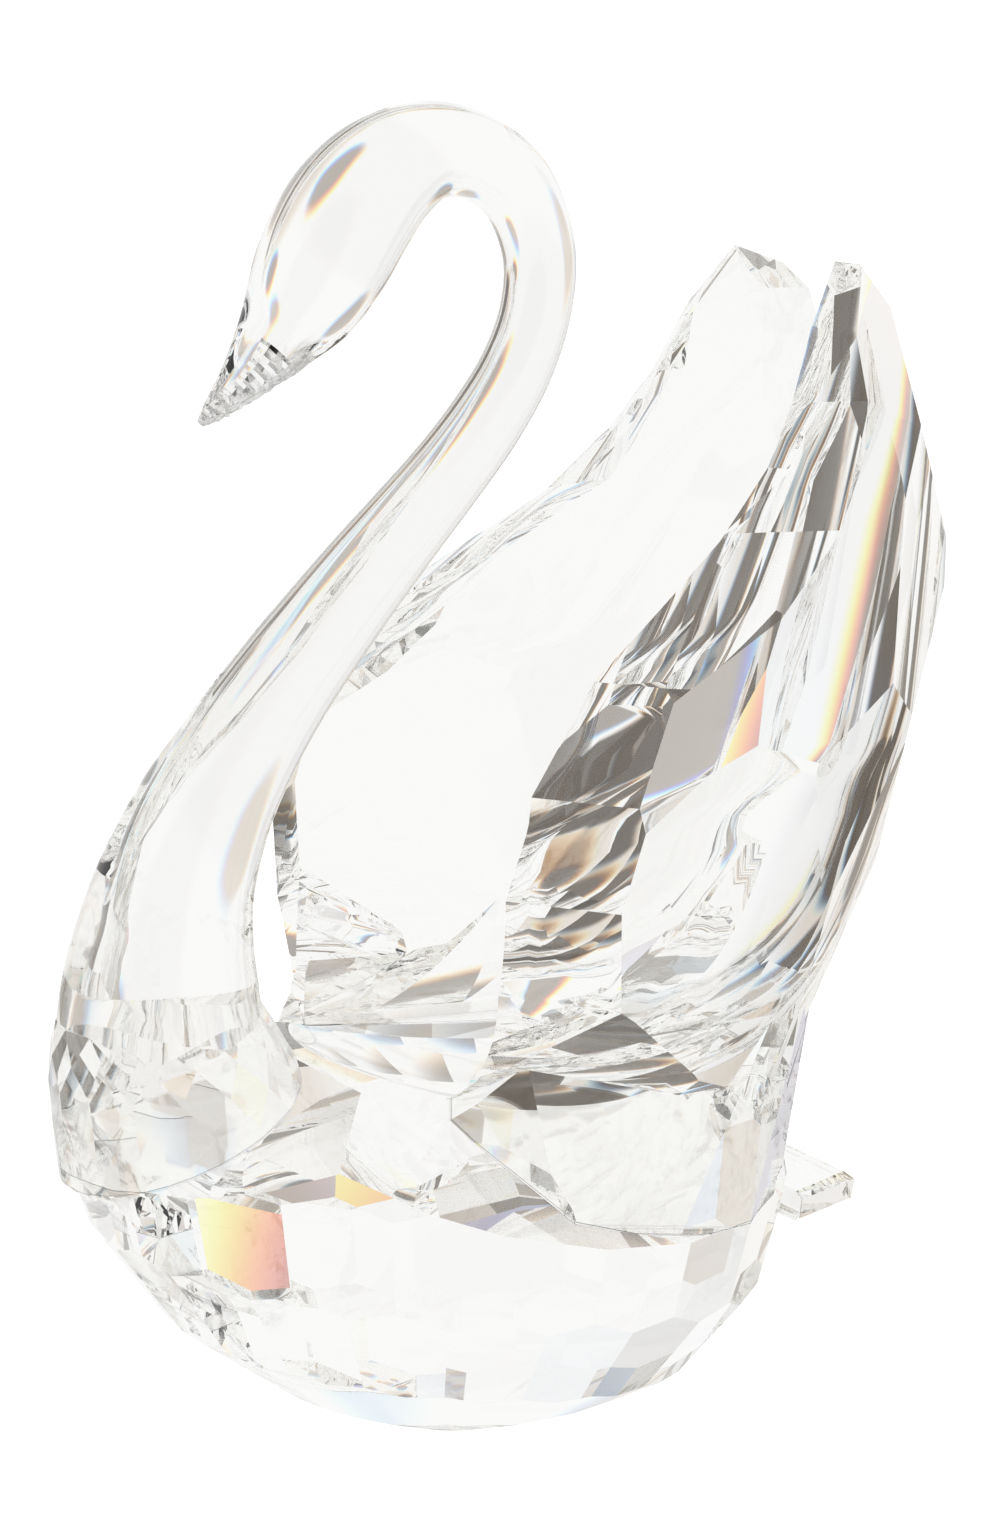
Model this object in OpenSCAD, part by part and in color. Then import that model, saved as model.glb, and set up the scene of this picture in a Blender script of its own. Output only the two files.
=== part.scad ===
// Cut crystal swan: a faceted body, a drawn neck with its head, two cupped wings and a small tail,
// bonded to each other with thin films of clear adhesive. The swan faces -Y and stands on Z = 0.

/* [Body] */
// Length of the body at its widest level
body_len = 57; // [54:1:62]
// Width of the body at its widest level
body_wid = 44; // [42:1:46]
// Height of the widest level above the table, in the middle of the body
girdle_z = 20; // [19:0.5:21]
// Depth from the widest level down to the keel that the foot is cut from
keel_depth = 23; // [22:0.5:25]
// Fall of the widest level and of the back, in millimetres per millimetre towards the tail
back_fall = 0.22; // [0.18:0.01:0.26]
// Number of facets round the body
body_facets = 22; // [18:2:26]
// Depth of the polished dish in the back
dish_depth = 2.6; // [1.5:0.1:3.5]
// Radius of the polished dish in the back, as seen from above
dish_r = 14; // [10:0.5:15]

/* [Neck] */
// Thickness of the neck, as a share of its drawn thickness
neck_girth = 1; // [0.9:0.02:1.08]
// Width of the neck and head across the swan, as a share of their depth
neck_round = 0.94; // [0.85:0.01:1]
// Number of facets round the foot of the neck
shoe_facets = 16; // [14:1:18]
// Length of the faceted foot of the neck, from breast to back
shoe_len = 18.6; // [17.6:0.2:19]

/* [Wings] */
// Thickness of a wing at the middle of its outer side
wing_wall = 6.5; // [5.5:0.1:7]
// Number of facets round the whole ellipse that a wing's outer side is cut from
wing_facets = 15; // [14:1:16]
// Half of the gap between the two wings behind the back
wing_gap = 4; // [3:0.1:5]

/* [Tail] */
// Width of the tail at its free end
tail_wid = 15.5; // [13:0.5:18]
// Thickness of the tail
tail_thick = 2.4; // [2:0.1:3]
// Width of the ground edge round the tail
tail_bevel = 0.7; // [0.4:0.1:0.9]

/* [Bonds] */
// Thickness of the cured adhesive between two pieces
film = 0.15; // [0.1:0.01:0.2]

/* [Hidden] */
big = 200;                 // side of the blocks that cut flats
fine = 96;                 // sides of a polished round surface
body_mid = -6;             // the middle of the body along Y

// Each flat is [normal, point]: the material lies on the side that the normal points away from.
back_flat = [[0, back_fall, 1], [0, -18, 28]];
breast_flat = [[0, -0.35, 1], [0, -20, 27.4]];
wing_slope = 0.56;
ridge_turn = 0.1;          // how much the wing flat's ridge turns towards the tail
left_flat = [[wing_slope, back_fall + wing_slope * ridge_turn, 1], [12, -12, 25]];
right_flat = [[-left_flat[0][0], left_flat[0][1], 1], [-left_flat[1][0], left_flat[1][1], left_flat[1][2]]];
tail_root = 19.5;          // where the body ends and the tail begins along Y
tail_flat = [[0, 1, 0], [0, tail_root, 0]];

// Point where three planes meet, each given as n with n * p = 1 on the plane
function meet(a, b, c) = (cross(b, c) + cross(c, a) + cross(a, b)) / (a * cross(b, c));

// Facet direction number i in a row at latitude lat, on a unit ball
function facet(row, i, count) =
    let (turn = (i + (row[1] ? 0.5 : 0)) * 360 / count)
    [cos(row[0]) * cos(turn), cos(row[0]) * sin(turn), sin(row[0])];

// Corners of a ball cut with staggered rows of facets: three neighbouring facets meet at each corner.
// A row is [latitude, staggered].
function gem_corners(rows, count, low, high) = concat(
    [for (r = [0 : len(rows) - 2], i = [0 : count - 1])
        let (shift = rows[r][1] ? 1 : 0)
        meet(facet(rows[r], i, count), facet(rows[r], i + 1, count), facet(rows[r + 1], i + shift, count))],
    [for (r = [0 : len(rows) - 2], i = [0 : count - 1])
        let (shift = rows[r][1] ? 0 : 1)
        meet(facet(rows[r + 1], i, count), facet(rows[r + 1], i + 1, count), facet(rows[r], i + shift, count))],
    [for (i = [0 : count - 1]) meet(facet(rows[0], i, count), facet(rows[0], i + 1, count), [0, 0, 1 / low])],
    [for (i = [0 : count - 1])
        meet(facet(rows[len(rows) - 1], i, count), facet(rows[len(rows) - 1], i + 1, count), [0, 0, 1 / high])]);

module gem(points) {
    hull() polyhedron(points = points, faces = [for (i = [0 : len(points) - 3]) [i, i + 1, i + 2]]);
}

// Block that fills everything above a flat, raised by lift along the flat's normal
module above(flat, lift = 0) {
    n = flat[0] / norm(flat[0]);
    translate(flat[1] + lift * n)
        rotate([0, acos(n[2]), atan2(n[1], n[0])])
            translate([-big / 2, -big / 2, 0])
                cube(big);
}

// Block that fills everything below a flat, raised by lift
module below(flat, lift = 0) above([-flat[0], flat[1] + lift * flat[0] / norm(flat[0])]);

body_half = [body_wid / 2, body_len / 2, keel_depth];
dish_y = -2;               // middle of the dish along Y
// Rows of facets, from the keel up
body_rows = [[-74, false], [-54, true], [-33, false], [-12, true], [9, false]];

module body_gem() {
    gem([for (p = gem_corners(body_rows, body_facets, -1, 0.6))
            let (y = body_half[1] * p[1])
            [body_half[0] * p[0], body_mid + y, girdle_z + body_half[2] * p[2] - back_fall * y]]);
}

// A shallow round cut, square to the back
module dish() {
    n = back_flat[0] / norm(back_flat[0]);
    ball_r = (dish_r * dish_r + dish_depth * dish_depth) / (2 * dish_depth);
    rim_z = back_flat[1][2] - back_fall * (dish_y - back_flat[1][1]);
    translate([0, dish_y, rim_z] + (ball_r - dish_depth) * n)
        sphere(r = ball_r, $fn = fine);
}

module body() color("aliceblue")
    difference() {
        body_gem();
        translate([-big / 2, -big / 2, -big]) cube(big);
        above(back_flat);
        above(breast_flat);
        above(left_flat);
        above(right_flat);
        above(tail_flat);
        dish();
    }

// The neck's middle line from the tip of the beak to the breast: [y, z, thickness]
neck_line = [[-24.4, 74.6, 0.5], [-23.2, 75.5, 1.7], [-21, 77.3, 3.4], [-18.6, 79.6, 5.6],
             [-16.2, 82.3, 8.2], [-14.2, 85.2, 9.3], [-12, 88.2, 9.3], [-9.2, 90.5, 8.4],
             [-5.6, 91.8, 7], [-1.7, 91.2, 6.1], [1.9, 88.7, 5.7], [3.8, 84.3, 5.4],
             [3.5, 80, 5.3], [1.8, 76, 5.4], [-0.9, 72.4, 5.6], [-4.3, 68.9, 5.8],
             [-7.9, 65.6, 6.2], [-11.5, 62.3, 6.7], [-15.1, 58.8, 7.2], [-18.7, 55.1, 7.8],
             [-21.9, 51.3, 8.6], [-24.7, 47.4, 9.8], [-26.9, 43, 11.2], [-28.1, 38.8, 12.8],
             [-28.6, 34.8, 14.2], [-28.7, 31, 15]];
neck_steps = 2;            // rings from one point of the line to the next
neck_sides = 24;

// A smooth curve through the points of a list: the value between points i and i + 1, t from 0 to 1
function smooth_at(list, i, t) =
    let (last = len(list) - 1,
         a = list[max(i - 1, 0)], b = list[i], c = list[min(i + 1, last)], d = list[min(i + 2, last)])
    0.5 * (2 * b + (c - a) * t + (2 * a - 5 * b + 4 * c - d) * t * t + (3 * b - a - 3 * c + d) * t * t * t);

neck_rings = [for (i = [0 : len(neck_line) - 2], s = [0 : neck_steps - 1])
                 smooth_at(neck_line, i, s / neck_steps), neck_line[len(neck_line) - 1]];

// Direction of the line at ring k, in the plane of the swan
function ring_way(k) =
    let (a = neck_rings[max(k - 1, 0)], b = neck_rings[min(k + 1, len(neck_rings) - 1)])
    [b[0] - a[0], b[1] - a[1]] / norm([b[0] - a[0], b[1] - a[1]]);

function ring_points(k) =
    let (c = neck_rings[k], way = ring_way(k), r = c[2] / 2 * neck_girth)
    [for (j = [0 : neck_sides - 1])
        let (turn = j * 360 / neck_sides)
        [neck_round * r * cos(turn), c[0] - way[1] * r * sin(turn), c[1] + way[0] * r * sin(turn)]];

module neck_tube() {
    count = len(neck_rings);
    points = [for (k = [0 : count - 1]) each ring_points(k)];
    sides = [for (k = [0 : count - 2], j = [0 : neck_sides - 1])
                let (n = (j + 1) % neck_sides)
                each [[k * neck_sides + j, k * neck_sides + n, (k + 1) * neck_sides + n],
                      [k * neck_sides + j, (k + 1) * neck_sides + n, (k + 1) * neck_sides + j]]];
    ends = [[for (j = [neck_sides - 1 : -1 : 0]) j],
            [for (j = [0 : neck_sides - 1]) (count - 1) * neck_sides + j]];
    polyhedron(points = points, faces = concat(sides, ends));
}

// Faceted foot of the neck: staggered rings of corners from the tube down to the breast flat.
// A ring is [y, z, share of the foot's half length, stagger].
shoe_round = 0.87;         // width of the foot as a share of its length
shoe_rings = [[-28.7, 33.5, 0.8, 0], [-28.3, 31.3, 0.9, 0.5], [-27.7, 29, 0.97, 0], [-27.2, 26.5, 1, 0.5],
              [-26.9, 23.5, 1.01, 0], [-26.5, 20, 1.02, 0.5]];

module shoe() {
    points = [for (g = shoe_rings, i = [0 : shoe_facets - 1])
                 let (turn = (i + g[3]) * 360 / shoe_facets, r = g[2] * shoe_len / 2)
                 [r * shoe_round * cos(turn), g[0] + r * sin(turn), g[1]]];
    gem(points);
}

module neck_and_head() color("azure")
    difference() {
        union() {
            neck_tube();
            shoe();
        }
        below(breast_flat, film);
    }

module neck_bond() color("white")
    difference() {
        shoe();
        below(breast_flat);
        above(breast_flat, film);
    }

// The outer side is cut from an ellipsoid: middle, half sizes, and how far it leans along X and Y for each
// millimetre up
outer_mid = [8, -12.8, 48];
outer_half = [8 + wing_wall, 44.2, 57];
outer_lean = [-0.05, 0.36];
wing_rows = [[-45, true], [-36, false], [-28, true], [-20, false], [-12, true], [1, false]];
// The upper rows of facets belong to an ellipsoid that leans more
upper_lean = [-0.27, 0.5];
upper_rows = [[16, true], [29, false], [41, true]];

// The hollow inside is smooth: level ovals stacked up, narrowing to a floor below hollow_knee
hollow_mid = [2.5, -10, 60];
hollow_half = [10.6, 43.7, 90];
hollow_lean = [-0.2, 0.38];
hollow_knee = 44;
hollow_floor = 19;         // depth of the floor below the knee
hollow_upright = 47;       // below this height the hollow no longer leans along X
hollow_belly = 0.006;      // how fast the floor sweeps inwards below the knee
hollow_keel = 0.3;         // share of the hollow's length that is left at its lowest point
hollow_rings = 22;

// Front face seen along its own run: [distance forward, height]
front_turn = 123.5;        // turn of the front face's run about Z
front_line = [[17.4, 14], [16.8, 24], [15.2, 29], [16.4, 35], [16.7, 42], [14.6, 49], [8.4, 56], [2.3, 60],
              [-3.8, 64], [-9.3, 68.6], [-12.4, 72.6], [-15.6, 78], [-19, 82.4], [-26, 90], [-60, 130]];
// Concave bevel along the outer front edge, seen along its own run: [distance outward, height]
bevel_turn = 63;           // turn of the bevel's run about Z
bevel_line = [[34, 43], [17.8, 54], [4, 64.5], [-1.2, 73], [-5.5, 90]];
front_curve = [for (i = [0 : len(front_line) - 2], s = [0 : 1]) smooth_at(front_line, i, s / 2)];

// Flats: [normal, point]
undercuts = [[[38, -24, -38], [16, -4, 28]], [[36, -6, -40], [17.4, 2, 25.2]]];
tip_flats = [[[-0.15, 0.35, 1], [7, 28, 82.2]], [[-0.25, -0.3, 1], [6, 26, 82.4]],
             [[0.574, 0.819, 0.28], [4, 33.2, 78.5]], [[0.574, 0.819, 0.75], [5, 30.5, 81]],
             [[1, -0.1, 0.5], [9.6, 26, 79]]];

// Corners of the wing's foot: on the body, and higher up inside the wing
foot_low = [[12, -12.4, 25], [20, -8.4, 19.5], [21.4, 1, 16.4], [19.5, 9, 15], [14, 16.5, 16], [4, 20.5, 19.5],
            [9.5, -10.6, 26]];
foot_high = [[14.6, -7.4, 29.4], [17, -0.8, 26.8], [18.4, 6, 26], [18, 12, 30], [15, 19, 34], [9, 24, 36],
             [4, 25.5, 36], [7, -4, 30]];

function hollow_ring(z) =
    let (down = max(hollow_knee - z, 0),
         up = max(z, hollow_knee) - hollow_mid[2],
         k = sqrt(1 - pow(up / hollow_half[2], 2)),
         narrow = pow(max(1 - pow(down / hollow_floor, 4), 0.0004), 0.25),
         mid = [hollow_mid[0] + hollow_lean[0] * (max(z, hollow_upright) - hollow_mid[2]) - hollow_belly * down * down,
                hollow_mid[1] + hollow_lean[1] * (z - hollow_mid[2])],
         half = [hollow_half[0] * k * narrow, hollow_half[1] * k * (hollow_keel + (1 - hollow_keel) * narrow)])
    [for (i = [0 : fine - 1]) [mid[0] + half[0] * cos(i * 360 / fine), mid[1] + half[1] * sin(i * 360 / fine), z]];

module hollow() {
    lower = [for (i = [0 : hollow_rings / 2 - 1]) hollow_knee - hollow_floor * cos(i * 180 / hollow_rings)];
    upper = [for (i = [0 : hollow_rings / 2]) hollow_knee + i * 100 / hollow_rings];
    levels = concat(lower, upper);
    points = [for (z = levels) each hollow_ring(z)];
    sides = [for (k = [0 : len(levels) - 2], j = [0 : fine - 1])
                let (n = (j + 1) % fine)
                each [[k * fine + j, (k + 1) * fine + n, k * fine + n],
                      [k * fine + j, (k + 1) * fine + j, (k + 1) * fine + n]]];
    ends = [[for (j = [0 : fine - 1]) j],
            [for (j = [fine - 1 : -1 : 0]) (len(levels) - 1) * fine + j]];
    polyhedron(points = points, faces = concat(sides, ends));
}

module wing_rows_gem(rows, lean, low, high) {
    gem([for (p = gem_corners(rows, wing_facets, low, high))
            let (z = outer_half[2] * p[2])
            outer_mid + [outer_half[0] * p[0] + lean[0] * z, outer_half[1] * p[1] + lean[1] * z, z]]);
}

module wing_gem() {
    intersection() {
        wing_rows_gem(wing_rows, outer_lean, -0.9, 0.9);
        wing_rows_gem(upper_rows, upper_lean, -2, 0.8);
    }
}

// Everything in front of the wing's front face
module before_front() {
    rotate([90, 0, front_turn])
        translate([0, 0, -big / 2])
            linear_extrude(big)
                polygon(concat([for (p = front_curve) [-p[0], p[1]]], [[-big, 130], [-big, 14]]));
}

// Everything outside the bevel along the outer front edge
module outside_bevel() {
    rotate([90, 0, bevel_turn - 90])
        translate([0, 0, -big / 2])
            linear_extrude(big)
                polygon(concat(bevel_line, [[big, 90], [big, 43]]));
}

module wing_blank() {
    difference() {
        union() {
            difference() {
                wing_gem();
                for (flat = undercuts) above(flat);
            }
            hull() polyhedron(points = concat(foot_low, foot_high),
                              faces = [for (i = [0 : len(foot_low) + len(foot_high) - 3]) [i, i + 1, i + 2]]);
        }
        hollow();
        before_front();
        outside_bevel();
        for (flat = tip_flats) above(flat);
        translate([wing_gap - big, -big / 2, -big / 2]) cube(big);
    }
}

module left_wing() color("lightcyan")
    difference() {
        wing_blank();
        below(left_flat, film);
    }

module right_wing() color("lightcyan")
    mirror([1, 0, 0]) left_wing();

module left_wing_bond() color("white")
    difference() {
        wing_blank();
        below(left_flat);
        above(left_flat, film);
    }

module right_wing_bond() color("white")
    mirror([1, 0, 0]) left_wing_bond();

// Outline of the tail seen square to it: half widths and distances behind its root
tail_len = 10.5;
tail_flare = 6.5;          // how much wider each side is at the root
tail_drop = 11.6;          // height of the tail's middle at its root
tail_tuck = 3;             // how far the outline runs on ahead of the root before it is cut off
tail_thin = 0.8;           // how much thinner the tail is at its rim

module tail_slab(grow, thick) {
    half = tail_wid / 2;
    translate([0, tail_root, tail_drop])
        rotate([-atan(back_fall), 0, 0])
            translate([0, 0, -thick / 2])
                linear_extrude(thick)
                    polygon([[-half - tail_flare - grow, -tail_tuck], [half + tail_flare + grow, -tail_tuck],
                             [half + grow, tail_len - tail_bevel + grow],
                             [-half - grow, tail_len - tail_bevel + grow]]);
}

module tail_blank() {
    hull() {
        tail_slab(0, tail_thick - tail_thin);
        tail_slab(-tail_bevel, tail_thick);
    }
}

module tail() color("aliceblue")
    difference() {
        tail_blank();
        below(tail_flat, film);
    }

module tail_bond() color("white")
    intersection() {
        tail_blank();
        translate([-big / 2, tail_root, 0]) cube([big, film, big]);
    }

body();
neck_and_head();
left_wing();
right_wing();
tail();
neck_bond();
left_wing_bond();
right_wing_bond();
tail_bond();
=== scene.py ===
import bmesh
import bpy
import numpy as np
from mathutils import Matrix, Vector


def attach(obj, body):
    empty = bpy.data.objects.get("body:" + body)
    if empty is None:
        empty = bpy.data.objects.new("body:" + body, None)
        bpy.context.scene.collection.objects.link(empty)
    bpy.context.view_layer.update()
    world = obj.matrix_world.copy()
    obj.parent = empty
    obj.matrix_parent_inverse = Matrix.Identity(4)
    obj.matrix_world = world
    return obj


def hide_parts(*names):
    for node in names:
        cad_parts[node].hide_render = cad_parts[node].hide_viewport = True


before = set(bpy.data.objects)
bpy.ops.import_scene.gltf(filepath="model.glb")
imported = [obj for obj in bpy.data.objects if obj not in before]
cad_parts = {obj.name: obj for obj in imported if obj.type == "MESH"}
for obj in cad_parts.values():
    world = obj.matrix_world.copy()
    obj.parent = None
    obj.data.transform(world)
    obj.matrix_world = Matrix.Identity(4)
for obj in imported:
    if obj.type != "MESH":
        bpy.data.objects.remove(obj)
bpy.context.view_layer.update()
print("frame loaded")

mm = 0.001
upright = np.array([0.0, 0.0, 1.0])


def unit(v):
    v = np.asarray(v, float)
    return v / np.linalg.norm(v)


# A flat is (normal, offset): the crystal lies where normal . point <= offset. All sizes are in millimetres.
def flat(normal, point):
    n = unit(normal)
    return n, float(n @ np.asarray(point, float))


# The same flat seen from its other side, raised by lift along its normal
def flipped(side, lift=0.0):
    return -side[0], -(side[1] + lift)


# Facets of a unit ball in staggered rows, carried on by the affine map p -> shape p + middle.
# A facet's direction on the ball is (cos latitude cos turn, cos latitude sin turn, sin latitude), a row is
# (latitude, staggered), and low and high are the heights of the flats that close the ball.
def gemFlats(rows, count, low, high, shape, middle):
    directions = []
    for latitude, staggered in rows:
        turn = (np.arange(count) + (0.5 if staggered else 0.0)) * 2 * np.pi / count
        up = np.radians(latitude)
        level = np.full(count, np.sin(up))
        directions.append(np.stack([np.cos(up) * np.cos(turn), np.cos(up) * np.sin(turn), level], 1))
    caps = np.array([[0, 0, 1 / low], [0, 0, 1 / high]])
    normals = np.vstack(directions + [caps]) @ np.linalg.inv(shape)
    offsets = 1 + normals @ np.asarray(middle, float)
    size = np.linalg.norm(normals, axis=1)
    return [(n / s, d / s) for n, d, s in zip(normals, offsets, size)]


# The part of a polygon that lies behind a flat
def clipped(corners, normal, offset):
    height = corners @ normal - offset
    kept = []
    for i in range(len(corners)):
        a, b = corners[i - 1], corners[i]
        ha, hb = height[i - 1], height[i]
        if (ha > 0) != (hb > 0):
            kept.append(a + (b - a) * (ha / (ha - hb)))
        if hb <= 0:
            kept.append(b)
    return np.array(kept)


# A convex stone: on each flat a big square is laid down and every other flat trims it
def stone(flats, reach=300):
    corners, faces, known = [], [], {}
    for i, (n, d) in enumerate(flats):
        side = unit(np.cross(n, [0.31, 0.52, 0.79]))
        over = np.cross(n, side)
        square = ((-1, -1), (1, -1), (1, 1), (-1, 1))
        shape = np.array([n * d + reach * (side * a + over * b) for a, b in square])
        for j, (m, e) in enumerate(flats):
            if j != i and len(shape) > 2:
                shape = clipped(shape, m, e)
        ring = []
        for p in shape:
            key = tuple(np.round(p, 3))
            if key not in known:
                known[key] = len(corners)
                corners.append(p)
            if not ring or known[key] != ring[-1]:
                ring.append(known[key])
        if len(ring) > 1 and ring[0] == ring[-1]:
            ring.pop()
        if len(ring) > 2:
            faces.append(ring)
    return np.array(corners), faces


# A curve through all the points: between two of them it is the cubic that leaves and arrives in the direction
# from the point before to the point after
def smoothCurve(points, steps):
    p = np.asarray(points, float)
    last = len(p) - 1
    out = []
    for i in range(last):
        a, b, c, d = p[max(i - 1, 0)], p[i], p[i + 1], p[min(i + 2, last)]
        for t in np.arange(steps) / steps:
            out.append(0.5 * (2 * b + (c - a) * t + (2 * a - 5 * b + 4 * c - d) * t * t
                              + (3 * b - a - 3 * c + d) * t ** 3))
    return np.array(out + [p[-1]])


# Rings of points joined into a closed skin, with a pole in the middle of each end ring
def skin(rings):
    count, sides = rings.shape[:2]
    k, j = np.meshgrid(np.arange(count - 1), np.arange(sides), indexing="ij")
    n = (j + 1) % sides
    quads = np.stack([k * sides + j, k * sides + n, (k + 1) * sides + n, (k + 1) * sides + j], -1)
    corners = np.vstack([rings.reshape(-1, 3), rings[0].mean(0), rings[-1].mean(0)])
    first, second = count * sides, count * sides + 1
    around = np.arange(sides)
    after = (around + 1) % sides
    start = np.stack([after, around, np.full(sides, first)], 1)
    end = np.stack([around, after], 1) + (count - 1) * sides
    end = np.hstack([end, np.full((sides, 1), second)])
    return corners, quads.reshape(-1, 4).tolist() + start.tolist() + end.tolist()


# A flat outline [across, up] drawn out along a level run; across is square to the run
def drawnOut(outline, turn, length=200.0):
    along = np.array([np.cos(turn), np.sin(turn), 0.0])
    across = np.array([along[1], -along[0], 0.0])
    line = np.asarray(outline, float)
    base = line[:, :1] * across + line[:, 1:] * upright
    n = len(line)
    corners = np.vstack([base - along * length / 2, base + along * length / 2])
    walls = [[i, (i + 1) % n, n + (i + 1) % n, n + i] for i in range(n)]
    return corners, walls + [list(range(n))[::-1], list(range(n, 2 * n))]


def meshObject(name, corners, faces, smooth=False):
    mesh = bpy.data.meshes.new(name)
    mesh.from_pydata((np.asarray(corners) * mm).tolist(), [], faces)
    mesh.update()
    mesh.shade_smooth() if smooth else mesh.shade_flat()
    piece = bpy.data.objects.new(name, mesh)
    bpy.context.scene.collection.objects.link(piece)
    return piece


# Turns every face of a closed piece outwards
def outward(piece):
    work = bmesh.new()
    work.from_mesh(piece.data)
    bmesh.ops.recalc_face_normals(work, faces=work.faces)
    work.to_mesh(piece.data)
    work.free()
    return piece


# Joins and cuts pieces for good, and puts the result in the first one
def carve(piece, steps):
    for kind, tool in steps:
        step = piece.modifiers.new("carve", "BOOLEAN")
        step.operation = kind
        step.solver = "EXACT"
        step.object = tool
        depsgraph = bpy.context.evaluated_depsgraph_get()
        depsgraph.update()
        made = bpy.data.meshes.new_from_object(piece.evaluated_get(depsgraph))
        piece.modifiers.clear()
        old = piece.data
        piece.data = made
        bpy.data.meshes.remove(old)
        made.name = piece.name
    for tool in {t for kind, t in steps}:
        bpy.data.objects.remove(tool)
    piece.data.set_sharp_from_angle(angle=np.radians(9))
    return piece


def principled(name, **values):
    material = bpy.data.materials.new(name)
    material.use_nodes = True
    shader = material.node_tree.nodes["Principled BSDF"]
    for key, value in values.items():
        shader.inputs[key].default_value = value
    return material


crystal = principled("clearCrystal", **{
    "Base Color": (0.982, 0.98, 0.97, 1), "Roughness": 0.0, "IOR": 1.56, "Transmission Weight": 1.0})
etchedCrystal = principled("etchedCrystal", **{
    "Base Color": (0.96, 0.96, 0.95, 1), "Roughness": 0.28, "IOR": 1.56, "Transmission Weight": 1.0})

backFall = 0.22            # the back falls this much for each millimetre towards the tail
backY, backZ = -18, 28     # a point on the back
backFlat = flat([0, backFall, 1], [0, backY, backZ])
breastFlat = flat([0, -0.35, 1], [0, -20, 27.4])
wingSlope = 0.56
padTurn = backFall + 0.1 * wingSlope
leftPad = flat([wingSlope, padTurn, 1], [12, -12, 25])
rightPad = flat([-wingSlope, padTurn, 1], [-12, -12, 25])
tailRoot = 19.5            # where the body ends and the tail begins along Y
tailFlat = flat([0, 1, 0], [0, tailRoot, 0])
table = flat([0, 0, -1], [0, 0, 0])
filmThick = 0.15
sunk = 0.03                # bonded faces reach this far into the film between them

bodyShape = {"half": (22, 28.5, 23), "middle": (0, -6, 20), "count": 22,
             "rows": ((-74, False), (-54, True), (-33, False), (-12, True), (9, False)),
             "dishRadius": 14, "dishDepth": 2.6, "dishY": -2}


# A gem cut flat for the table, the back and the bonded pieces, with a ball's cap taken out of the back.
# The ball's points are (cos up cos turn, cos up sin turn, sin up).
def makeBody():
    b = bodyShape
    hx, hy, hz = b["half"]
    shape = np.array([[hx, 0, 0], [0, hy, 0], [0, -backFall * hy, hz]])
    flats = gemFlats(b["rows"], b["count"], -1, 0.6, shape, b["middle"])
    bonded = [(n, d + sunk) for n, d in (breastFlat, leftPad, rightPad, tailFlat)]
    body = meshObject("crystalBody", *stone(flats + [table, backFlat] + bonded))
    radius, depth, dishY = b["dishRadius"], b["dishDepth"], b["dishY"]
    ballR = (radius ** 2 + depth ** 2) / (2 * depth)      # the ball whose cap has that radius and depth
    rim = np.array([0, dishY, backZ - backFall * (dishY - backY)])
    middle = rim + (ballR - depth) * unit([0, backFall, 1])
    up = np.radians(np.linspace(-90, 90, 181))
    turn = np.linspace(0, 2 * np.pi, 257)[:-1]
    rings = np.stack([np.outer(np.cos(up), np.cos(turn)), np.outer(np.cos(up), np.sin(turn)),
                      np.outer(np.sin(up), np.ones(256))], -1)[1:-1]
    ball = outward(meshObject("dish", *skin(rings * ballR + middle), smooth=True))
    return carve(body, [("DIFFERENCE", ball)])


body = makeBody()
print("body cut")

neckShape = {"girth": 1.0, "round": 0.94, "sides": 96, "steps": 10,
             "etchLength": 7.0, "etchFork": 1.3, "etchHalf": 66.0, "etchTip": 25.0, "etchFade": 1.2,
             "etchGrain": 0.08,
             "line": ((-24.4, 74.6, 0.5), (-23.2, 75.5, 1.7), (-21, 77.3, 3.4), (-18.6, 79.6, 5.6),
                      (-16.2, 82.3, 8.2), (-14.2, 85.2, 9.3), (-12, 88.2, 9.3), (-9.2, 90.5, 8.4),
                      (-5.6, 91.8, 7), (-1.7, 91.2, 6.1), (1.9, 88.7, 5.7), (3.8, 84.3, 5.4),
                      (3.5, 80, 5.3), (1.8, 76, 5.4), (-0.9, 72.4, 5.6), (-4.3, 68.9, 5.8),
                      (-7.9, 65.6, 6.2), (-11.5, 62.3, 6.7), (-15.1, 58.8, 7.2), (-18.7, 55.1, 7.8),
                      (-21.9, 51.3, 8.6), (-24.7, 47.4, 9.8), (-26.9, 43, 11.2), (-28.1, 38.8, 12.8),
                      (-28.6, 34.8, 14.2), (-28.7, 31, 15)),
             "shoe": ((-28.7, 33.5, 0.8, 0), (-28.3, 31.3, 0.9, 0.5), (-27.7, 29, 0.97, 0),
                      (-27.2, 26.5, 1, 0.5), (-26.9, 23.5, 1.01, 0), (-26.5, 20, 1.02, 0.5)),
             "shoeHalf": 9.3, "shoeRound": 0.87, "shoeFacets": 16}


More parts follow.
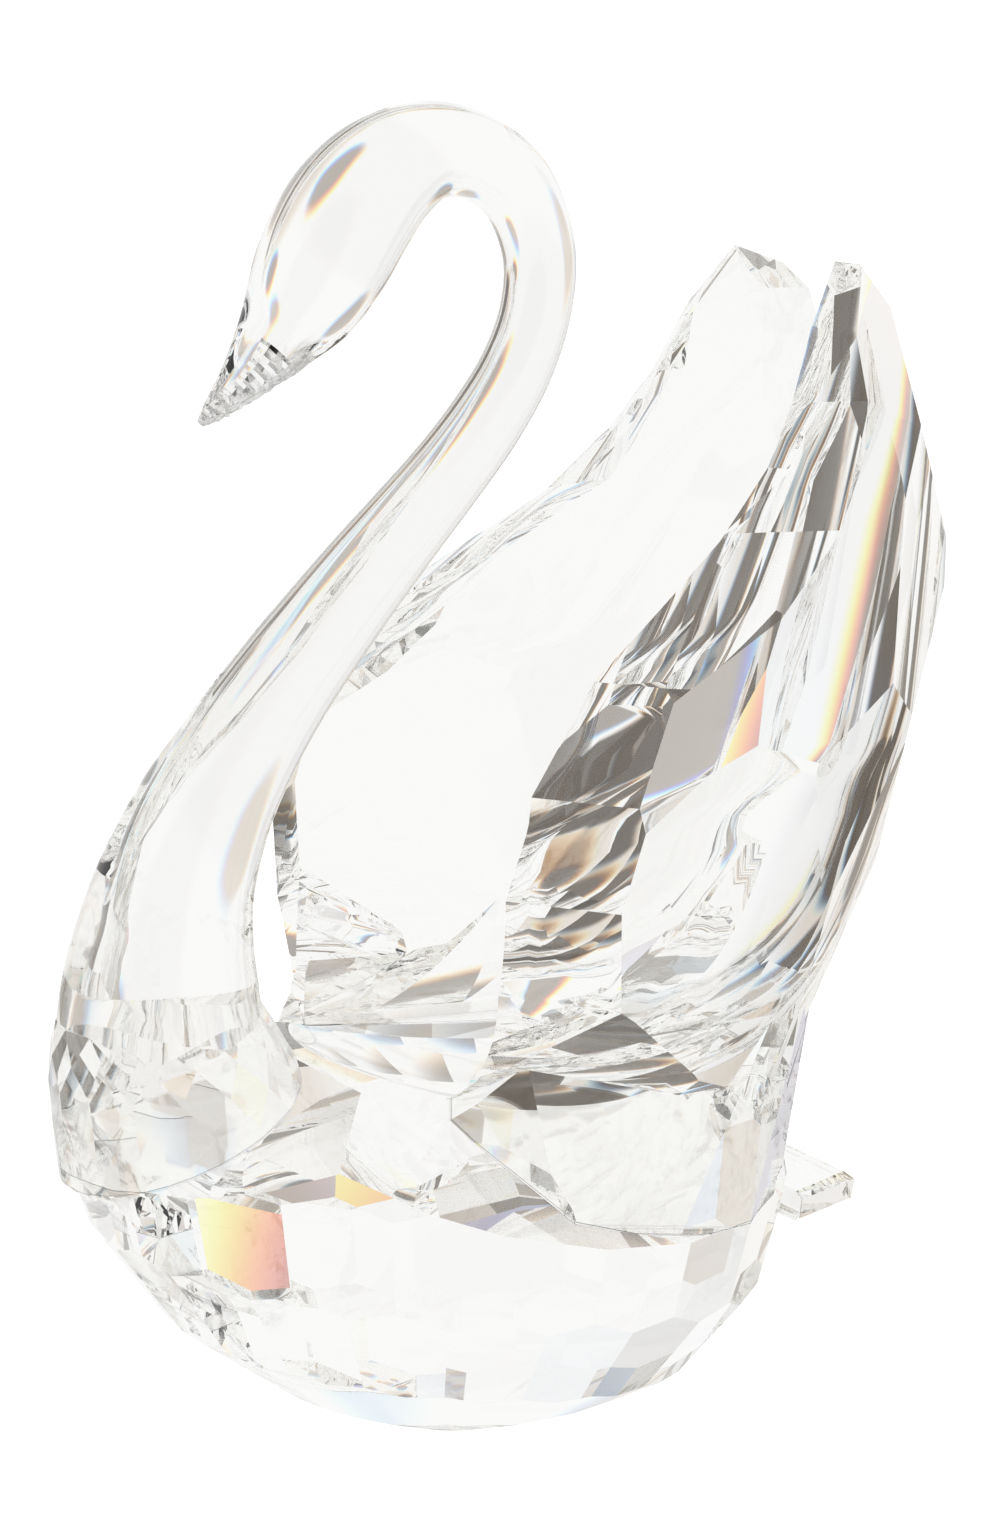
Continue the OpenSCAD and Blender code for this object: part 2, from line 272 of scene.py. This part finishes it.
# Round rings carried along the middle line:
# middle + thickness / 2 (round cos turn across + sin turn square to the line).
# The foot is the convex stone round its staggered rings of corners.
def makeNeck():
    s = neckShape
    line = smoothCurve(s["line"], s["steps"])
    way = np.gradient(line[:, :2], axis=0)
    way /= np.linalg.norm(way, axis=1)[:, None]
    turn = np.arange(s["sides"]) * 2 * np.pi / s["sides"]
    r = line[:, 2:3] / 2 * s["girth"]
    rings = np.stack([s["round"] * r * np.cos(turn), line[:, :1] - way[:, 1:] * r * np.sin(turn),
                      line[:, 1:2] + way[:, :1] * r * np.sin(turn)], -1)
    # The underside of the beak is etched: its grain is a little scatter of the surface, and it ends in a fork
    gone = np.concatenate([[0], np.cumsum(np.linalg.norm(np.diff(line[:, :2], axis=0), axis=1))])[:, None]
    under = np.abs(np.degrees(np.angle(np.exp(1j * (turn + np.pi / 2)))))[None, :]
    end = s["etchLength"] + s["etchFork"] * np.sin(np.radians(np.minimum(under * 1.8, 180)))
    etched = (gone < end) & (under < s["etchHalf"] + s["etchTip"] * np.exp(-gone / s["etchFade"]))
    rng = np.random.default_rng(4)
    grain = rng.normal(0, s["etchGrain"], etched.shape) * etched
    middle = rings.mean(1, keepdims=True)
    away = rings - middle
    rings = rings + away / np.maximum(np.linalg.norm(away, axis=2, keepdims=True), 0.05) * grain[..., None]
    neck = meshObject("crystalNeckAndHead", *skin(rings), smooth=True)
    neck.data.materials.append(crystal)
    neck.data.materials.append(etchedCrystal)
    full = etched[:-1] & etched[1:]
    slots = np.zeros(len(neck.data.polygons), np.int32)
    slots[:full.size] = full.ravel()
    slots[full.size:full.size + s["sides"]] = 1
    neck.data.polygons.foreach_set("material_index", slots)
    outward(neck)
    count = s["shoeFacets"]
    points = []
    for y, z, share, shift in s["shoe"]:
        turn = (np.arange(count) + shift) * 2 * np.pi / count
        radius = share * s["shoeHalf"]
        x = radius * s["shoeRound"] * np.cos(turn)
        points.append(np.stack([x, y + radius * np.sin(turn), np.full(count, z)], 1))
    shoe = hullOf("shoe", np.vstack(points), [])
    cutter = blockBelow("breast", breastFlat, filmThick - sunk)
    return carve(neck, [("UNION", shoe), ("DIFFERENCE", cutter)])


# The smallest convex stone round some points, trimmed by flats
def hullOf(name, points, flats):
    work = bmesh.new()
    for p in points:
        work.verts.new(p * mm)
    bmesh.ops.convex_hull(work, input=work.verts)
    for n, d in flats:
        ring = work.verts[:] + work.edges[:] + work.faces[:]
        bmesh.ops.bisect_plane(work, geom=ring, plane_co=n * d * mm, plane_no=n, clear_outer=True)
        bmesh.ops.holes_fill(work, edges=work.edges)
    bmesh.ops.dissolve_limit(work, angle_limit=0.001, verts=work.verts, edges=work.edges)
    loose = [v for v in work.verts if not v.link_faces]
    bmesh.ops.delete(work, geom=loose, context="VERTS")
    bmesh.ops.recalc_face_normals(work, faces=work.faces)
    mesh = bpy.data.meshes.new(name)
    work.to_mesh(mesh)
    work.free()
    mesh.shade_flat()
    piece = bpy.data.objects.new(name, mesh)
    bpy.context.scene.collection.objects.link(piece)
    return piece


# A block that fills everything below a flat
def blockBelow(name, side, lift=0.0):
    n, d = flipped(side, lift)
    box = [(-n, -d)] + [(np.array(v, float), 150.0) for v in
                        ((1, 0, 0), (-1, 0, 0), (0, 1, 0), (0, -1, 0), (0, 0, 1), (0, 0, -1))]
    return meshObject(name, *stone(box))


neck = makeNeck()
print("neck drawn")

wingShape = {"middle": (8, -12.8, 48), "half": (14.5, 44.2, 57), "lean": (-0.05, 0.36), "count": 15,
             "rows": ((-45, True), (-36, False), (-28, True), (-20, False), (-12, True), (1, False)),
             "upperLean": (-0.27, 0.5), "upperRows": ((16, True), (29, False), (41, True)),
             "gap": 4.0,
             "undercuts": (((38, -24, -38), (16, -4, 28)), ((36, -6, -40), (17.4, 2, 25.2))),
             "tips": (((-0.15, 0.35, 1), (7, 28, 82.2)), ((-0.25, -0.3, 1), (6, 26, 82.4)),
                      ((0.574, 0.819, 0.28), (4, 33.2, 78.5)), ((0.574, 0.819, 0.75), (5, 30.5, 81)),
                      ((1, -0.1, 0.5), (9.6, 26, 79))),
             "footLow": ((12, -12.4, 25), (20, -8.4, 19.5), (21.4, 1, 16.4), (19.5, 9, 15), (14, 16.5, 16),
                         (4, 20.5, 19.5), (9.5, -10.6, 26)),
             "footHigh": ((14.6, -7.4, 29.4), (17, -0.8, 26.8), (18.4, 6, 26), (18, 12, 30), (15, 19, 34),
                          (9, 24, 36), (4, 25.5, 36), (7, -4, 30)),
             "frontTurn": np.radians(33.5),
             "front": ((17.4, 14), (16.8, 24), (15.2, 29), (16.4, 35), (16.7, 42), (14.6, 49), (8.4, 56),
                       (2.3, 60), (-3.8, 64), (-9.3, 68.6), (-12.4, 72.6), (-15.6, 78), (-19, 82.4),
                       (-26, 90), (-60, 130)),
             "bevelTurn": np.radians(63),
             "bevel": ((34, 43), (17.8, 54), (4, 64.5), (-1.2, 73), (-5.5, 90))}

hollowShape = {"middle": (2.5, -10, 60), "half": (10.6, 43.7, 90), "lean": (-0.2, 0.38), "knee": 44.0,
               "floor": 19.0, "upright": 47.0, "rise": 50, "belly": 0.006, "keel": 0.3,
               "sides": 256}


# Level ovals stacked up: they shrink by sqrt(1 - (up / half)^2) away from the middle, and below the knee
# they draw in by (1 - (down / floor)^4)^(1/4) towards a rounded floor
def hollowRings():
    h = hollowShape
    low = h["knee"] - h["floor"] * np.cos(np.linspace(0.01, np.pi / 2, 60))
    z = np.concatenate([low, np.linspace(h["knee"], h["knee"] + h["rise"], 61)[1:]])
    down = np.maximum(h["knee"] - z, 0)
    up = np.maximum(z, h["knee"]) - h["middle"][2]
    k = np.sqrt(1 - (up / h["half"][2]) ** 2)
    narrow = np.maximum(1 - (down / h["floor"]) ** 4, 0.0004) ** 0.25
    leanX = h["lean"][0] * (np.maximum(z, h["upright"]) - h["middle"][2])
    midX = h["middle"][0] + leanX - h["belly"] * down ** 2
    midY = h["middle"][1] + h["lean"][1] * (z - h["middle"][2])
    turn = np.arange(h["sides"]) * 2 * np.pi / h["sides"]
    x = midX[:, None] + (h["half"][0] * k * narrow)[:, None] * np.cos(turn)
    y = midY[:, None] + (h["half"][1] * k * (h["keel"] + (1 - h["keel"]) * narrow))[:, None] * np.sin(turn)
    return np.stack([x, y, np.broadcast_to(z[:, None], x.shape)], -1)


# Two gems that lean differently share the outer side. The foot is added, then the hollow, the front and the
# outer bevel are cut away.
def makeWing():
    w = wingShape
    hx, hy, hz = w["half"]
    flats = []
    gems = ((w["rows"], w["lean"], -0.9, 0.9), (w["upperRows"], w["upperLean"], -2, 0.8))
    for rows, lean, low, high in gems:
        shape = np.array([[hx, 0, lean[0] * hz], [0, hy, lean[1] * hz], [0, 0, hz]])
        flats += gemFlats(rows, w["count"], low, high, shape, w["middle"])
    inner = flat([-1, 0, 0], [w["gap"], 0, 0])
    pad = flipped(leftPad, filmThick - sunk)
    flats += [flat(n, p) for n, p in w["undercuts"] + w["tips"]] + [inner, pad]
    wing = meshObject("crystalLeftWing", *stone(flats))
    foot = hullOf("foot", np.array(w["footLow"] + w["footHigh"], float), [inner, pad])
    hollow = outward(meshObject("hollow", *skin(hollowRings()), smooth=True))
    outline = np.vstack([w["front"], [[200, 130], [200, 14]]])
    before = outward(meshObject("beforeFront", *drawnOut(outline, w["frontTurn"]), smooth=False))
    outline = np.vstack([w["bevel"], [[200, 90], [200, 43]]])
    outside = outward(meshObject("outsideBevel", *drawnOut(outline, w["bevelTurn"]), smooth=False))
    cuts = [("DIFFERENCE", tool) for tool in (hollow, before, outside)]
    return carve(wing, [("UNION", foot)] + cuts)


leftWing = makeWing()
mirrored = leftWing.data.copy()
mirrored.transform(((-1, 0, 0, 0), (0, 1, 0, 0), (0, 0, 1, 0), (0, 0, 0, 1)))
mirrored.flip_normals()
rightWing = bpy.data.objects.new("crystalRightWing", mirrored)
bpy.context.scene.collection.objects.link(rightWing)
print("wings cut")

tailShape = {"half": 7.75, "flare": 6.5, "length": 10.5, "bevel": 0.7, "thick": 2.4, "edge": 0.8,
             "drop": 11.6, "tuck": 3}


# The convex stone round two outlines of a plate, a thin wide one and a thick narrow one, tipped with the back
def makeTail():
    t = tailShape
    fall = np.arctan(backFall)
    points = []
    for grow, thick in ((0, t["thick"] - t["edge"]), (-t["bevel"], t["thick"])):
        far = t["length"] - t["bevel"] + grow
        for x, y in ((t["half"] + t["flare"] + grow, -t["tuck"]), (t["half"] + grow, far)):
            for side in (-1, 1):
                for z in (-thick / 2, thick / 2):
                    points.append((side * x, tailRoot + y * np.cos(fall) + z * np.sin(fall),
                                   t["drop"] - y * np.sin(fall) + z * np.cos(fall)))
    return hullOf("crystalTail", np.array(points), [flipped(tailFlat, filmThick - sunk)])


tail = makeTail()
print("tail cut")

madePieces = ((body, "body"), (neck, "neck_and_head"), (leftWing, "left_wing"), (rightWing, "right_wing"),
              (tail, "tail"))
for piece, node in madePieces:
    if piece is not neck:
        piece.data.materials.clear()
        piece.data.materials.append(crystal)
    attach(piece, "root")
    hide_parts(node)
film = principled("clearFilm", **{
    "Base Color": (0.995, 0.995, 0.99, 1), "Roughness": 0.0, "IOR": 1.56, "Transmission Weight": 1.0})
for bond in ("neck_bond", "left_wing_bond", "right_wing_bond", "tail_bond"):
    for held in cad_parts[bond].material_slots:
        held.material = film

floorMesh = bpy.data.meshes.new("floor")
floorHalf = 3
edge = [(x * floorHalf, y * floorHalf, 0) for x, y in ((-1, -1), (1, -1), (1, 1), (-1, 1))]
floorMesh.from_pydata(edge, [], [(0, 1, 2, 3)])
floor = bpy.data.objects.new("floor", floorMesh)
bpy.context.scene.collection.objects.link(floor)
pale = principled("paleFloor", **{
    "Base Color": (0.9, 0.9, 0.89, 1), "Roughness": 0.7, "Emission Color": (1, 1, 1, 1),
    "Emission Strength": 0.5})
floorMesh.materials.append(pale)
floor.visible_transmission = False   # the floor is not seen through or in the crystal
floor.visible_glossy = False

world = bpy.data.worlds.new("studio")
bpy.context.scene.world = world
world.use_nodes = True
tree = world.node_tree
tree.nodes.clear()


def addNode(kind, **settings):
    made = tree.nodes.new(kind)
    for key, value in settings.items():
        setattr(made, key, value)
    return made


# Dark cards stand round the light tent. Each is a soft cone: [azimuth, elevation, inner and outer half angle,
# how much light is left, how far red and blue are shifted either way]. The shift stands in for the crystal's
# dispersion. Azimuth 0 is straight in front of the swan.
cards = ((178, -28, 16, 27, 0.8, 0.6), (173, -20, 12, 17, 0.17, 0.5), (186, -48, 11, 16, 0.22, 0.9),
         (204, -62, 10, 16, 0.4, 1.2), (216, -24, 6, 9, 0.5, 1.4), (163, 6, 7, 11, 0.4, 0.8),
         (197, -5, 3.5, 6, 0.45, 1.2), (209, 6, 3.5, 6, 0.65, 1.4), (276, -12, 9, 14, 0.82, 1.2),
         (265, 35, 8, 13, 0.5, 1.2), (55, 12, 26, 40, 0.3, 1.0), (325, -5, 12, 20, 0.6, 1.0),
         (216, 42, 8, 14, 0.6, 1.2))


def wayOf(azimuth, elevation):
    a, e = np.radians(azimuth), np.radians(elevation)
    return np.array([np.sin(a) * np.cos(e), -np.cos(a) * np.cos(e), np.sin(e)])


place = addNode("ShaderNodeTexCoord")
last = None
for azimuth, elevation, inside, outside, left, shift in cards:
    both = addNode("ShaderNodeCombineColor")
    for channel, step, warm in (("Red", -shift, 1.0), ("Green", 0.0, 0.93), ("Blue", shift, 0.84)):
        dot = addNode("ShaderNodeVectorMath", operation="DOT_PRODUCT")
        dot.inputs[1].default_value = wayOf(azimuth + step, elevation + step * 0.8)
        tree.links.new(place.outputs["Generated"], dot.inputs[0])
        fade = addNode("ShaderNodeMapRange", interpolation_type="SMOOTHSTEP")
        fade.inputs["From Min"].default_value = np.cos(np.radians(outside))
        fade.inputs["From Max"].default_value = np.cos(np.radians(inside))
        fade.inputs["To Min"].default_value = 1.0
        fade.inputs["To Max"].default_value = left * warm
        tree.links.new(dot.outputs["Value"], fade.inputs["Value"])
        tree.links.new(fade.outputs["Result"], both.inputs[channel])
    if last is None:
        last = both.outputs["Color"]
    else:
        times = addNode("ShaderNodeMix", data_type="RGBA", blend_type="MULTIPLY")
        times.inputs["Factor"].default_value = 1.0
        tree.links.new(last, times.inputs["A"])
        tree.links.new(both.outputs["Color"], times.inputs["B"])
        last = times.outputs["Result"]
dome = addNode("ShaderNodeBackground")
dome.inputs["Strength"].default_value = 0.97
tree.links.new(last, dome.inputs["Color"])
plain = addNode("ShaderNodeBackground")
plain.inputs["Color"].default_value = (1, 1, 1, 1)
plain.inputs["Strength"].default_value = 1.1
rays = addNode("ShaderNodeLightPath")
choose = addNode("ShaderNodeMixShader")
tree.links.new(rays.outputs["Is Camera Ray"], choose.inputs["Fac"])
tree.links.new(dome.outputs["Background"], choose.inputs[1])
tree.links.new(plain.outputs["Background"], choose.inputs[2])
out = addNode("ShaderNodeOutputWorld")
tree.links.new(choose.outputs["Shader"], out.inputs["Surface"])

print("studio lit")

lens = bpy.data.cameras.new("camera")
lens.lens = 85
lens.sensor_width = 36
lens.sensor_fit = "AUTO"
lens.clip_start = 0.01
camera = bpy.data.objects.new("camera", lens)
bpy.context.scene.collection.objects.link(camera)
cameraPlace = {"azimuth": 55, "elevation": 15, "distance": 0.26471, "aimHeight": 0.047}
back = Vector(wayOf(cameraPlace["azimuth"], cameraPlace["elevation"]))
camera.location = Vector((0, 0, cameraPlace["aimHeight"])) + back * cameraPlace["distance"]
camera.rotation_mode = "QUATERNION"
camera.rotation_quaternion = (-back).to_track_quat("-Z", "Y")
bpy.context.scene.camera = camera

cycles = bpy.context.scene.cycles
cycles.max_bounces = 32
cycles.transmission_bounces = 32
cycles.glossy_bounces = 16
cycles.caustics_refractive = True
cycles.caustics_reflective = True
cycles.blur_glossy = 0.0
bpy.context.scene.view_settings.view_transform = "Standard"
